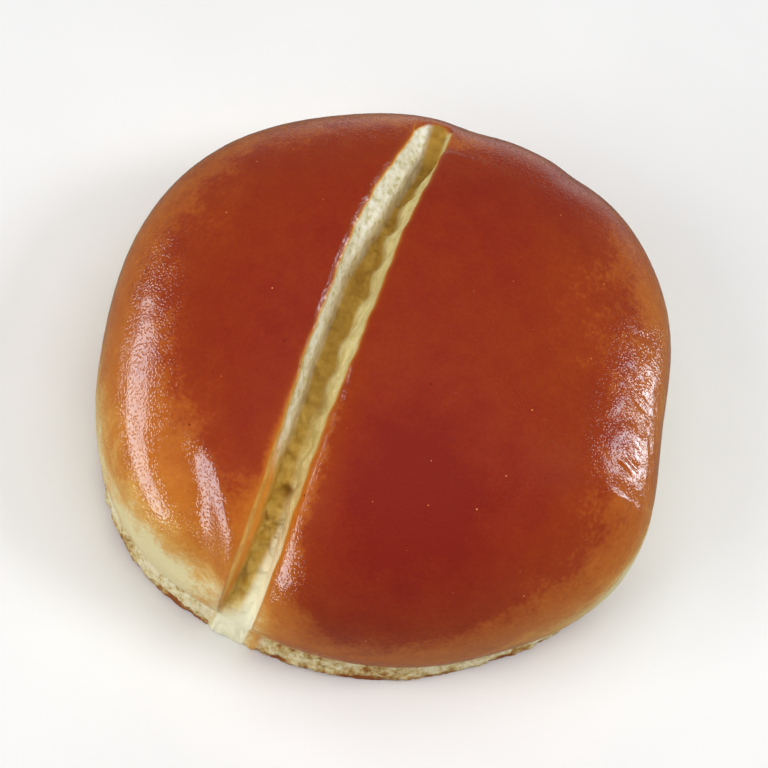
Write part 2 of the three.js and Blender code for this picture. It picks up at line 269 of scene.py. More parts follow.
# Camera: fitted to the photograph's outline, a long lens from above the near end, turned on its axis
PHOTO_SIZE = 768
CAMERA_ELEVATION = 66.0
CAMERA_ROLL = 20.5
CAMERA_DISTANCE = 0.56
CAMERA_FOCAL_PIXELS = 3332.0
CAMERA_AIM = (0.0, 0.0, 18.0)
CAMERA_AIM_PIXEL = (387.3, 390.2)
SENSOR_WIDTH = 36.0

# Floor: its size in metres, its faint mottles in millimetres
FLOOR_SIZE = 6.0
FLOOR_MOTTLES = {"size": 60.0, "detail": 3.0}
FLOOR_COLOURS = ((0.3, (240, 240, 240)), (0.7, (246, 246, 246)))
FLOOR_ROUGHNESS = 0.7

# Brightness of the plain surroundings: below, below on the far side, above, and above in the gloss
LOW_SURROUNDINGS = 0.17
FAR_SURROUNDINGS = 1.2
HIGH_SURROUNDINGS = 0.12
HIGH_IN_GLOSS = 0.28

# Spans of a direction's Y and Z in which one brightness gives way to another
FAR_SIDE = (0.75, 0.95)
LOW_SIDE = (-0.45, -0.05)

# Lights: azimuth from +Y towards +X and elevation in degrees, size in metres, watts, and turn in degrees
LIGHT_AIM = (0, 0, 0.02)
SOFT_DISTANCE = 1.0
SOFT_LIGHTS = (
    {"name": "overhead", "towards": (0, 88), "size": (0.9, 0.9), "power": 5.6, "turn": 0},
    {"name": "key", "towards": (80, 50), "size": (0.3, 0.3), "power": 3.2, "turn": 0},
    {"name": "fill", "towards": (-130, 40), "size": (0.6, 0.6), "power": 4.4, "turn": 0},
)
SOFT_TINT = (1.0, 1.0, 1.0)
GLOSS_DISTANCE = 0.8
GLOSS_LIGHTS = (
    {"name": "left_panel", "towards": (-114, -6.5), "size": (1.17, 0.34), "power": 16.5, "turn": -20},
    {"name": "right_panel", "towards": (60.5, -12), "size": (0.1, 0.3), "power": 1.1, "turn": 20},
    {"name": "far_panel", "towards": (63, 15), "size": (0.13, 0.2), "power": 1.1, "turn": 20},
    {"name": "bright_panel", "towards": (61.5, -2), "size": (0.08, 0.15), "power": 0.75, "turn": 20},
)
GLOSS_TINT = (0.76, 0.92, 1.04)


def smooth(value, low, high):
    """Eases from 0 at low to 1 at high."""
    part = np.clip((value - low) / (high - low), 0, 1)
    return part * part * (3 - 2 * part)


def bell(distance, reach):
    """Falls from 1 at no distance to about a third at the reach, on both sides."""
    return np.exp(-((distance / reach) ** 2))


def mix(first, second, share):
    """A value between two others, at a share of the way."""
    return first + (second - first) * share


# Form of the bun

def crown_radius(angle):
    """Radius of the widest ring towards an angle in plan."""
    radius = CROWN_RADIUS
    for lobe in CROWN_LOBES:
        radius = radius + lobe["swell"] * np.cos(lobe["waves"] * (angle - math.radians(lobe["toward"])))
    for swell in CROWN_SWELLS:
        away = (np.degrees(angle) - swell["toward"] + 180) % 360 - 180
        radius = radius + swell["swell"] * bell(away, swell["reach"])
    return radius


def ring_share(x, y):
    """How far a point in plan lies from the middle, as a share of the widest ring."""
    return np.hypot(x, y) / crown_radius(np.arctan2(y, x))


def top_level(x, y):
    """Height of the dome over a point in plan."""
    share = np.clip(ring_share(x, y), 0, 1)
    rise = (1 - share ** CROWN_FULLNESS) ** (1 / CROWN_FULLNESS)
    return WIDEST_LEVEL + (HEIGHT - WIDEST_LEVEL) * rise


def under_level(x, y):
    """Height of the underside: flat base, steep foot wall, then the overhang out to the widest ring."""
    share = np.clip(ring_share(x, y), 0, 1)
    wall = smooth(share, FOOT_SHARE, FOOT_SHARE + FOOT_WALL_SHARE)
    outward = np.clip((share - FOOT_SHARE) / (1 - FOOT_SHARE), 0, 1)
    overhang = 1 - np.sqrt(1 - outward ** OVERHANG_CURVE)
    return FOOT_WALL_HEIGHT * wall + (WIDEST_LEVEL - FOOT_WALL_HEIGHT) * overhang


def sway(y, pitch, phase):
    """An uneven wave along the bun, from -1 to 1."""
    turn = 2 * np.pi * y / pitch
    return np.sin(turn + phase) * np.sin(SWAY_BEAT * turn + 2 * phase + 1)


def cut_middle(y):
    """Middle line of the cut in plan."""
    middle = CUT_OFFSET + CUT_WANDER["middle"] * sway(y, CUT_WANDER["pitch"], phase=0.0)
    for bend in CUT_BENDS:
        middle = middle + bend["shift"] * smooth(y, *bend["along"])
    return middle


def cut_half_width(y):
    """Half the cut's width, less towards both ends."""
    width = CUT_HALF_WIDTH + CUT_WANDER["width"] * sway(y, CUT_WANDER["pitch"] / 2, phase=2.0)
    for end in CUT_NARROWING:
        width = width * (1 - end["loss"] * smooth(y, *end["along"]))
    return width


def cut_depth(y, z):
    """Depth of the cut along its run: a slight bulge at the near base, fading out before the far rim."""
    far = 1 - smooth(y, *CUT_FADE_FAR)
    rise = np.where(y < 0, smooth(z, *CUT_FADE_NEAR), 1.0)
    return mix(CUT_DEPTH_AT_BASE, CUT_DEPTH, rise) * far


def left_wall_foot(y):
    """Where the cut's left wall ends and its floor begins, as a share of the half width."""
    foot = CUT_LEFT_WALL["foot"]
    for end in CUT_LEFT_WALL_ENDS:
        foot = foot + end["shift"] * smooth(y, *end["along"])
    return foot


def right_wall_foot(y):
    """Where the cut's floor ends and its ragged right wall begins, as a share of the half width."""
    far = smooth(y, *CUT_RIGHT_WALL_FAR["along"])
    foot = CUT_RIGHT_WALL["foot"] + CUT_RIGHT_WALL_FAR["shift"] * far
    wander = CUT_RIGHT_WALL["wander"] * (1 - CUT_RIGHT_WALL_FAR["calm"] * far)
    return foot + wander * sway(y, CUT_RIGHT_WALL["pitch"], phase=1.0)


def cut_profile(share, y):
    """Share of the cut's depth across it: a sloping left wall, a step, the floor and a steep right wall."""
    left_foot = left_wall_foot(y)
    ledge = CUT_LEFT_WALL["ledge"] * np.clip((share + 1) / (left_foot + 1), 0, 1)
    step = (1 - CUT_LEFT_WALL["ledge"]) * smooth(share, left_foot, left_foot + CUT_LEFT_WALL["drop"])
    right = np.clip((1 - share) / (1 - right_wall_foot(y)), 0, 1)
    return np.minimum(ledge + step, right)


def side_point(side):
    """Leftmost (side -1) or rightmost (side 1) point of the widest ring."""
    angle = np.linspace(0, 2 * np.pi, OUTLINE_SCAN_STEPS, endpoint=False)
    x = crown_radius(angle) * np.cos(angle)
    y = crown_radius(angle) * np.sin(angle)
    best = np.argmax(x * side)
    return x[best], y[best]


# Slices: each is a middle, a line across the bun, and its share of the cut or None on a lobe

def lobe_slice(side, share):
    """A slice that eases from flat at the bun's side to the bend of the cut's lip."""
    edge_x, edge_y = side_point(side)

    def across(y):
        return mix(edge_x, cut_middle(y) + side * cut_half_width(y), share)

    return edge_y * (1 - share), across, None


def cut_slice(share):
    """A slice that stays at one share of the cut's half width."""
    return 0.0, lambda y: cut_middle(y) + share * cut_half_width(y), share


def even_places(x, z, count, offset, weight=1.0):
    """Places along x that cut the line of x and z into even weighted lengths."""
    lengths = np.hypot(np.diff(x), np.diff(z)) * weight
    reached = np.concatenate([[0], np.cumsum(lengths)])
    wanted = (np.arange(count) + offset) / (count - 1 + 2 * offset) * reached[-1]
    return np.interp(wanted, reached, x)


def lobe_slices(side, count):
    """Slices of one lobe, evenly spaced over the dome, from the bun's side to the lip."""
    edge = side_point(side)[0]
    lip = cut_middle(0) + side * CUT_HALF_WIDTH
    x = edge + (lip - edge) * (1 - np.cos(np.linspace(0, np.pi / 2, TRACE_STEPS)))
    weight = 1 + LIP_CROWDING["extra"] * np.exp(-np.abs(x[1:] - lip) / LIP_CROWDING["reach"])
    places = even_places(x, top_level(x, np.zeros_like(x)), count, 0.5, weight)
    return [lobe_slice(side, (place - edge) / (lip - edge)) for place in places]


def all_slices():
    """Slices from right to left."""
    share = np.linspace(1, -1, TRACE_STEPS)
    cut = even_places(share * CUT_HALF_WIDTH, cut_profile(share, 0.0) * CUT_DEPTH, CUT_SLICES, 0.0)
    middle = [cut_slice(place / CUT_HALF_WIDTH) for place in cut]
    return [*lobe_slices(1, RIGHT_SLICES), *middle, *lobe_slices(-1, LEFT_SLICES)[::-1]]


def slice_reach(middle, across, direction):
    """Where a slice reaches the widest ring, from its middle towards -Y or +Y."""
    inside, outside = 0.0, 2 * CROWN_RADIUS
    for _ in range(BISECTION_STEPS):
        half = (inside + outside) / 2
        y = middle + direction * half
        if ring_share(across(y), y) < 1:
            inside = half
        else:
            outside = half
    return middle + direction * inside


def trace(across, from_y, to_y, level):
    """Points along a slice's dome or underside between two places, closer together near its ends."""
    y = mix(from_y, to_y, (1 - np.cos(np.linspace(0, np.pi, TRACE_STEPS))) / 2)
    x = across(y)
    return np.stack([x, y, level(x, y)], axis=-1)


def base_weight(points):
    """The flat base needs few points and the foot's wall many."""
    on_base = ring_share(points[:, 0], points[:, 1]) < FOOT_SHARE
    on_wall = points[:, 2] < FOOT_WALL_HEIGHT + FOOT_CREASE["reach"]
    return np.where(on_base, FLAT_BASE_WEIGHT, np.where(on_wall, FOOT_WALL_WEIGHT, 1.0))


def respace(points, steps, weight):
    """The same run of points set out in equal weighted steps, without its last point."""
    gaps = np.linalg.norm(np.diff(points, axis=0), axis=1) * weight[1:]
    reached = np.concatenate([[0], np.cumsum(gaps)])
    wanted = np.arange(steps) / steps * reached[-1]
    return np.stack([np.interp(wanted, reached, points[:, axis]) for axis in range(3)], axis=-1)


def slice_loop(middle, across):
    """One closed loop: over the dome from near to far, then back along the underside."""
    near = slice_reach(middle, across, -1)
    far = slice_reach(middle, across, 1)
    centre = (near + far) / 2
    dome = trace(across, near, far, top_level)
    far_base = trace(across, far, centre, under_level)
    near_base = trace(across, centre, near, under_level)
    return np.concatenate([
        respace(dome, TOP_STEPS, np.ones(len(dome))),
        respace(far_base, HALF_BASE_STEPS, base_weight(far_base)),
        respace(near_base, HALF_BASE_STEPS, base_weight(near_base)),
    ])


def outward_directions(grid):
    """Unit directions out of the surface at each point of a grid of loops."""
    across = np.gradient(grid, axis=0)
    along = np.roll(grid, -1, axis=1) - np.roll(grid, 1, axis=1)
    out = np.cross(along, across)
    return out / np.linalg.norm(out, axis=-1, keepdims=True)


# Relief of the surface

def fractal(points, size, octaves, seed):
    """Fractal noise at each point, from about -1 to 1, with lumps of a size in millimetres."""
    shift = Vector([seed * part for part in SEED_SHIFT])
    flat = points.reshape(-1, 3) / size
    places = [Vector(place) + shift for place in flat.tolist()]
    values = [noise.fractal(place, OCTAVE_FADE, OCTAVE_STEP, octaves) for place in places]
    return np.array(values).reshape(points.shape[:-1])


def unevenness(points, relief):
    """Uneven relief at each point, by its size, height, octaves and seed."""
    return relief["height"] * fractal(points, relief["size"], relief["octaves"], relief["seed"])


def lip_distance(x, y):
    """How far a point in plan lies outside the cut's lips."""
    return np.maximum(np.abs(x - cut_middle(y)) - cut_half_width(y), 0)


def bake_level(grid):
    """How dark the crust is baked: by height on the dome, and more or less by side."""
    x, y, z = np.moveaxis(grid, -1, 0)
    above = (z - WIDEST_LEVEL) / (HEIGHT - WIDEST_LEVEL)
    below = (z - WIDEST_LEVEL) / WIDEST_LEVEL * UNDERSIDE_BAKE_LOSS
    level = np.where(z > WIDEST_LEVEL, above, below)
    angle = np.degrees(np.arctan2(y, x))
    for lobe in BAKE_LOBES:
        on_lobe = smooth((x - cut_middle(y)) * lobe["side"], *LOBE_BLEND)
        shift = lobe["all"]
        strength = smooth(ring_share(x, y), *lobe["from_middle"]) * smooth(z, *lobe["from_base"])
        for toward, reach, amount in lobe["by_side"]:
            shift = shift + amount * strength * bell((angle - toward + 180) % 360 - 180, reach)
        level = level + shift * on_lobe
    lip_reach = np.where(x < cut_middle(y), NEAR_LIP_REACH["left"], NEAR_LIP_REACH["right"])
    near_lip = np.exp(-lip_distance(x, y) / lip_reach) * smooth(y, *NEAR_LIP_BAKE["along"])
    lip_level = mix(NEAR_LIP_BAKE["base_level"], NEAR_LIP_BAKE["level"], smooth(z, *NEAR_LIP_BAKE["rise"]))
    level = mix(level, lip_level, NEAR_LIP_BAKE["pull"] * near_lip)
    for spot in PALE_SPOTS:
        away = np.linalg.norm(grid - np.array(spot["at"]), axis=-1)
        level = level - spot["loss"] * bell(away, spot["reach"])
    return level


def dent_relief(x, y, dent):
    """One smooth hollow or swelling at a place in plan."""
    away = np.hypot((x - dent["at"][0]) / dent["across"][0], (y - dent["at"][1]) / dent["across"][1])
    return dent["height"] * bell(away, 1)


def crown_relief(grid):
    """Lips and dents of the crown, the ridge on its near shoulder, and the wrinkles and fold on its right."""
    x, y, z = np.moveaxis(grid, -1, 0)
    height = lip_relief(x, y, z) + ridge_relief(x, y, z) + wrinkle_relief(grid) + fold_relief(x, y, z)
    for dent in CROWN_DENTS:
        height += dent_relief(x, y, dent)
    return height * smooth(z, FOOT_WALL_HEIGHT, WIDEST_LEVEL)


def lip_relief(x, y, z):
    """The crust's roll down to the cut and its fold on the left, less where the cut is shallow."""
    height = np.zeros_like(x)
    side = np.where(x < cut_middle(y), -1, 1)
    beside = lip_distance(x, y)
    inside = beside == 0
    for roll in LIP_ROLLS:
        along = 1.0 if roll["until"] is None else smooth(y, *roll["until"])
        here = np.isin(side, roll["sides"]) | inside
        height -= roll["drop"] * along * here * np.exp(-beside / roll["reach"])
    folded = np.interp(beside, (LIP_FOLD["from"], LIP_FOLD["to"]), (1, 0)) * ((side < 0) | inside)
    height -= LIP_FOLD["drop"] * folded * smooth(y, *LIP_FOLD["along"])
    return height * cut_depth(y, z) / CUT_DEPTH


def ridge_relief(x, y, z):
    """The hollow down the near left shoulder and the ridge on its right, ending inside the cut's lip."""
    (from_x, from_y), (to_x, to_y) = SHOULDER_RIDGE["from"], SHOULDER_RIDGE["to"]
    line = mix(from_x, to_x, (y - from_y) / (to_y - from_y))
    beside = (x - line) / SHOULDER_RIDGE["across"]
    along = smooth(y, *SHOULDER_RIDGE_ENDS["along"]) * smooth(z, *SHOULDER_RIDGE_ENDS["levels"])
    past_lip = smooth(x - cut_middle(y), -cut_half_width(y), 0)
    return SHOULDER_RIDGE["height"] * beside * np.exp((1 - beside ** 2) / 2) * along * (1 - past_lip)


def lip_edge(x, y, depth):
    """The thin golden edge of the crust along the cut."""
    return np.exp(-lip_distance(x, y) / LIP_EDGE["reach"]) * smooth(depth, *LIP_EDGE["depths"])


def shoulder_distance(x, y, toward):
    """How far round the crown a point lies past an angle in plan, in millimetres."""
    angle = np.degrees(np.arctan2(y, x))
    return np.radians((angle - toward + 180) % 360 - 180) * CROWN_RADIUS


def wrinkle_relief(grid):
    """Short creases down the right shoulder, and the fine crumpling round them."""
    x, y, z = np.moveaxis(grid, -1, 0)
    height = np.zeros_like(x)
    end = WRINKLE_FORM["end"]
    for wrinkle in WRINKLES:
        low, high = wrinkle["levels"]
        along = smooth(z, low - end, low + end) * (1 - smooth(z, high - end, high + end))
        beside = shoulder_distance(x, y, wrinkle["toward"])
        height += WRINKLE_FORM["height"] * along * bell(beside, WRINKLE_FORM["across"])
    crumpled = bell(shoulder_distance(x, y, CRUMPLED_SKIN["toward"]), CRUMPLED_SKIN["reach"])
    crumpled = crumpled * bell(z - CRUMPLED_SKIN["level"], CRUMPLED_SKIN["rise"])
    return height + crumpled * unevenness(grid, CRUMPLES)


def fold_relief(x, y, z):
    """The step of the fold, which falls off slowly on its near side."""
    past = shoulder_distance(x, y, FOLD["toward"]) - FOLD["slant"] * (FOLD["at_level"] - z)
    step = FOLD["height"] * np.exp(np.minimum(past, 0) / FOLD["reach"]) * (1 - smooth(past, *FOLD["edge"]))
    return step * (x > 0) * smooth(z, *FOLD_LEVELS["low"]) * (1 - smooth(z, *FOLD_LEVELS["high"]))


def foot_cover(x, y):
    """Where the foot is bare: all round, except in the cut and beside its right lip."""
    left = smooth(lip_distance(x, y), *LIP_SKIRT["left"])
    right = smooth(lip_distance(x, y), *LIP_SKIRT["right"])
    return np.where(y < 0, np.where(x > cut_middle(y), right, left), 1.0)


def foot_relief(grid):
    """A craggy swelling above the base, and the crease under the overhang."""
    x, y, z = np.moveaxis(grid, -1, 0)
    crease = FOOT_CREASE["height"] * bell(z - FOOT_CREASE["level"], FOOT_CREASE["reach"]) * foot_cover(x, y)
    swell = FOOT_SWELL["height"] + unevenness(grid, FOOT_CRAGS)
    return crease + swell * bell(z - FOOT_SWELL["level"], FOOT_SWELL["reach"])


def crumb_relief(grid, profile, depth):
    """Walls and floor of the cut, its torn lumps and grains, and the burst bubble."""
    x, y, _ = np.moveaxis(grid, -1, 0)
    lumps = unevenness(grid, CRUMB_LUMPS) + unevenness(grid, CRUMB_GRAIN)
    below_lip = np.clip(profile / TORN_CRUMB["below"], 0, 1)
    torn = below_lip * smooth(depth, *TORN_CRUMB["depths"]) * lumps
    return torn - profile * depth + dent_relief(x, y, CRUMB_BUBBLE) * below_lip


def crumb_far_end(share):
    """Where the crumb ends along the cut, by the share of the half width."""
    return CRUMB_FAR_END["at"] - CRUMB_FAR_END["round"] * share ** 2 + CRUMB_FAR_END["lean"] * share


def crumb_cover(share, y):
    """Where the cut shows crumb: all of it between the lips, up to its rounded far end."""
    inside = (1 - np.abs(share)) * cut_half_width(y)
    past_end = smooth(y - crumb_far_end(share), -CRUMB_FAR_END["edge"], CRUMB_FAR_END["edge"])
    return smooth(inside, 0, CRUMB_EDGE) * (1 - past_end)


def pit_cover(share, y, z):
    """Where the floor of the cut gets its painted shade, between the feet of its walls."""
    left, right = PIT_LEFT_EDGE, PIT_RIGHT_EDGE
    start = left_wall_foot(y) - left["before_foot"] - left["more"] * smooth(y, *left["along"])
    past_left = smooth(share, start, start + left["fade"])
    end = right_wall_foot(y)
    before_right = 1 - smooth(share, end - right["fade"], end + right["fade"])
    shift = right["near_end_shift"] * smooth(y, *CRUMB_NEAR_END)
    narrowed = 1 - smooth(y, *PIT_NEAR) * smooth(share - shift, *right["near"])
    before_end = smooth(z - PIT_NEAR_END["lean"] * share, *PIT_NEAR_END["levels"])
    return past_left * before_right * before_end * narrowed


def scorched_wall(share, y, z):
    """Where the near left wall is scorched beside its lip."""
    from_lip = (share + 1) * cut_half_width(y)
    beside = 1 - smooth(from_lip, *SCORCHED_WALL["edge"])
    return beside * smooth(y, *SCORCHED_WALL["along"]) * smooth(z, *SCORCHED_WALL["levels"])


def skin_tautness(x, y):
    """Where the skin is drawn taut, so that its pores are shallow: over the right shoulder."""
    beside = bell(shoulder_distance(x, y, TAUT_SKIN["toward"]), TAUT_SKIN["reach"])
    return beside * smooth(ring_share(x, y), *TAUT_SKIN["from_middle"])


def lip_beads(x, y):
    """The narrow run of beaded glaze along the far half of the left lip."""
    beside = bell(lip_distance(x, y) - LIP_BEADS["from_lip"], LIP_BEADS["reach"])
    return beside * (x < cut_middle(y)) * smooth(y, *LIP_BEADS["along"])


def lean_foot(points):
    """Shifts the lower part so that the foot stands off the crown's middle."""
    below = np.clip(1 - points[..., 2] / WIDEST_LEVEL, 0, 1) ** 2
    points[..., 0] += FOOT_SHIFT[0] * below
    points[..., 1] += FOOT_SHIFT[1] * below
    points[..., 2] = np.maximum(points[..., 2], 0)


def bun_surface():
    """The grid of points in millimetres, and the named fields that its material reads."""
    slices = all_slices()
    grid = np.stack([slice_loop(middle, across) for middle, across, _ in slices])
    x, y, z = np.moveaxis(grid, -1, 0)
    on_dome = (np.arange(grid.shape[1]) <= TOP_STEPS)[None, :] & np.ones_like(x, bool)
    flat_base = ~on_dome & (ring_share(x, y) < FOOT_SHARE)
    in_cut = np.array([part is not None for *_, part in slices])[:, None] & ~flat_base & (on_dome | (y < 0))
    share = np.array([part or 0.0 for *_, part in slices])[:, None] * np.ones_like(x)
    profile = np.where(in_cut, cut_profile(share, y), 0.0)
    depth = cut_depth(y, z)

    height = crown_relief(grid) + foot_relief(grid) + crumb_relief(grid, profile, depth)
    height += unevenness(grid, CRUST_UNDULATION) * smooth(z, *CRUST_UNDULATION_LEVELS)
    height += unevenness(grid, CRUST_GRAIN)
    height = np.where(flat_base, 0.0, height)
    moved = grid + outward_directions(grid) * height[..., None]
    lean_foot(moved)

    foot_top = smooth(z, FOOT_WALL_HEIGHT, FOOT_WALL_HEIGHT + FOOT_TOP_FADE)
    past_crumb = in_cut * smooth(y - crumb_far_end(share), *LIP_EDGE["past_end"])
    fields = {
        "bake": bake_level(grid),
        "crumb": crumb_cover(share, y) * in_cut,
        "pit": pit_cover(share, y, z),
        "right_wall": smooth(share, *CRUMB_RIGHT_SIDE),
        "near": smooth(y, *PIT_NEAR),
        "near_end": smooth(y, *CRUMB_NEAR_END),
        "scorch": scorched_wall(share, y, z),
        "bubble": dent_relief(x, y, CRUMB_BUBBLE) / CRUMB_BUBBLE["height"],
        "lip": lip_edge(x, y, depth) * (1 - past_crumb),
        "foot": (1 - foot_top) * ~on_dome * foot_cover(x, y),
        "beads": lip_beads(x, y),
        "taut": skin_tautness(x, y),
        "rise": moved[..., 2],
    }
    return moved, fields


def bun_piece():
    """The bun's mesh: the grid of loops closed by a fan at either side."""
    grid, fields = bun_surface()
    rows, columns = grid.shape[:2]
    points = grid.reshape(-1, 3)
    low, high = points.min(axis=0), points.max(axis=0)
    shift = np.array([(low[0] + high[0]) / 2, (low[1] + high[1]) / 2, low[2]])
    ends = np.stack([grid[0].mean(axis=0), grid[-1].mean(axis=0)])
    places = (np.concatenate([points, ends]) - shift) * METRES

    index = np.arange(rows * columns).reshape(rows, columns)
    turned = np.roll(index, -1, axis=1)
    quads = np.stack([index[:-1], index[1:], turned[1:], turned[:-1]], axis=-1).reshape(-1, 4)
    first = [(rows * columns, a, b) for a, b in zip(index[0], turned[0])]
    last = [(rows * columns + 1, b, a) for a, b in zip(index[-1], turned[-1])]
    mesh = bpy.data.meshes.new("bun_crust")
    mesh.from_pydata(places.tolist(), [], [*quads.tolist(), *first, *last])
    mesh.validate()
    mesh.polygons.foreach_set("use_smooth", np.ones(len(mesh.polygons), bool))
    for name, values in fields.items():
        flat = np.concatenate([values.reshape(-1), [values[0].mean(), values[-1].mean()]])
        mesh.attributes.new(name, "FLOAT", "POINT").data.foreach_set("value", flat.astype(np.float32))
    piece = bpy.data.objects.new("bun_crust", mesh)
    bpy.context.scene.collection.objects.link(piece)
    return piece, shift


# Materials

def add_node(tree, kind, inputs=None, **settings):
    """A new node with its settings, and its inputs set or linked by name or number."""
    made = tree.nodes.new(kind)
    for name, value in settings.items():
        setattr(made, name, value)
    for name, value in (inputs or {}).items():
        if isinstance(value, bpy.types.NodeSocket):
            tree.links.new(value, made.inputs[name])
        else:
            made.inputs[name].default_value = value
    return made


def new_material(name):
    """A material with its node tree and its shader."""
    material = bpy.data.materials.new(name)
    material.use_nodes = True
    return material, material.node_tree, material.node_tree.nodes["Principled BSDF"]


def srgb(red, green, blue):
    """A colour given as a screen shows it, from 0 to 255, for a shader socket."""
    parts = [part / 255 for part in (red, green, blue)]
    linear = [part / 12.92 if part <= 0.04045 else ((part + 0.055) / 1.055) ** 2.4 for part in parts]
    return (*linear, 1.0)


def ramp(tree, value, stops):
    """A colour ramp through the stops, each a place and a colour as a screen shows it."""
    made = add_node(tree, "ShaderNodeValToRGB", {"Fac": value})
    elements = made.color_ramp.elements
    while len(elements) < len(stops):
        elements.new(0.5)
    for element, (place, colour) in zip(elements, stops):
        element.position = place
        element.color = srgb(*colour)
    return made.outputs["Color"]


def attribute(tree, name):
    """A field of the bun's surface."""
    return add_node(tree, "ShaderNodeAttribute", attribute_name=name).outputs["Fac"]


def texture(tree, size, detail=2.0, roughness=0.5):
    """Noise from 0 to 1 with lumps of a size in millimetres."""
    place = add_node(tree, "ShaderNodeTexCoord").outputs["Object"]
    inputs = {"Vector": place, "Scale": 1 / (size * METRES), "Detail": detail, "Roughness": roughness}
    return add_node(tree, "ShaderNodeTexNoise", inputs).outputs["Fac"]


def math_node(tree, operation, first, second):
    """Two values added, multiplied or compared."""
    return add_node(tree, "ShaderNodeMath", {0: first, 1: second}, operation=operation).outputs["Value"]


def span(tree, value, low, high, to_low, to_high):
    """Maps a value from one span to another, without passing its ends."""
    inputs = {"Value": value, "From Min": low, "From Max": high, "To Min": to_low, "To Max": to_high}
    return add_node(tree, "ShaderNodeMapRange", inputs).outputs["Result"]


def mix_colour(tree, share, first, second):
    """A colour between two others, at a share of the way."""
    made = add_node(tree, "ShaderNodeMix", {"Factor": share, "A": first, "B": second}, data_type="RGBA")
    return made.outputs["Result"]


def mix_value(tree, share, first, second):
    """A value between two others, at a share of the way."""
    return add_node(tree, "ShaderNodeMix", {"Factor": share, "A": first, "B": second}).outputs["Result"]


# Used for the painted glints and for the dark specks of the crust
def add_dots(tree, under, pitch, radius, colour):
    """Scattered dots on a colour, by pitch in millimetres and largest radius as a share of the pitch."""
    place = add_node(tree, "ShaderNodeTexCoord").outputs["Object"]
    cells = add_node(tree, "ShaderNodeTexVoronoi", {"Vector": place, "Scale": 1 / (pitch * METRES)})
    size = span(tree, cells.outputs["Color"], DOT_SHARE, 1.0, 0.0, radius)
    inside = math_node(tree, "LESS_THAN", cells.outputs["Distance"], size)
    return mix_colour(tree, inside, under, srgb(*colour))


def crust_colour(tree):
    """Cream low at the sides to mahogany on top, in uneven patches, with golden lips, dark specks and painted
    glints.
    """
    bake = attribute(tree, "bake")
    for patch in BAKE_PATCHES:
        tone = texture(tree, patch["size"], BAKE_PATCH_DETAIL)
        change = span(tree, tone, *BAKE_PATCH_SPAN, -patch["amount"], patch["amount"])
        bake = math_node(tree, "ADD", bake, change)
    darkest = CRUST_COLOURS[-1][0]
    stops = [(level / darkest, colour) for level, colour in CRUST_COLOURS]
    crust = ramp(tree, span(tree, bake, 0.0, darkest, 0.0, 1.0), stops)
    lip = attribute(tree, "lip")
    crust = mix_colour(tree, lip, crust, ramp(tree, lip, LIP_COLOURS))
    # Painted glints, then dark specks
    for dots in GLINTS_AND_SPECKS:
        crust = add_dots(tree, crust, **dots)
    return crust


def crumb_colour(tree):
    """Left wall painted whiter as if lit, right wall yellower as if in bounce light, cream near end, painted
    shade in pit and bubble, scorch.
    """
    grain = texture(tree, **CRUMB_MOTTLES)
    # Painted light: the left wall lighter as if lit, the right wall warmer as if in bounce light
    left = ramp(tree, grain, LEFT_WALL_LIT_COLOURS)
    right = ramp(tree, grain, RIGHT_WALL_BOUNCE_COLOURS)
    crumb = mix_colour(tree, attribute(tree, "right_wall"), left, right)
    crumb = mix_colour(tree, attribute(tree, "near_end"), crumb, srgb(*NEAR_END_COLOUR))
    # Painted shade on the floor of the cut
    tone = texture(tree, **PIT_MOTTLES)
    far_pit_shade = ramp(tree, tone, FAR_PIT_SHADE_COLOURS)
    near_pit_shade = ramp(tree, tone, NEAR_PIT_SHADE_COLOURS)
    pit = mix_colour(tree, attribute(tree, "near"), far_pit_shade, near_pit_shade)
    crumb = mix_colour(tree, attribute(tree, "pit"), crumb, pit)
    # Painted shade in the bubble's hollow
    crumb = mix_colour(tree, attribute(tree, "bubble"), crumb, srgb(*BUBBLE_SHADE_COLOUR))
    return mix_colour(tree, attribute(tree, "scorch"), crumb, srgb(*SCORCH_COLOUR))


def foot_colour(tree):
    """Pale crumb with darker mottles, toasted brown in patches along its lower edge."""
    low = span(tree, attribute(tree, "rise"), *FOOT_TOASTING["levels"], *FOOT_TOASTING["amounts"])
    amount = FOOT_PATCHES["amount"]
    patches = span(tree, texture(tree, FOOT_PATCHES["size"]), *FOOT_PATCHES["span"], -amount, amount)
    toasting = math_node(tree, "ADD", texture(tree, **FOOT_MOTTLES), low)
    return ramp(tree, math_node(tree, "ADD", toasting, patches), FOOT_COLOURS)


def skin_pores(tree):
    """Fine pores of the crust, from 0 in a pore to 1 on the glaze between them."""
    place = add_node(tree, "ShaderNodeTexCoord").outputs["Object"]
    cells = add_node(tree, "ShaderNodeTexVoronoi", {"Vector": place, "Scale": 1 / (PORE_PITCH * METRES)})
    return span(tree, cells.outputs["Distance"], *PORE_SPAN, 0.0, 1.0)


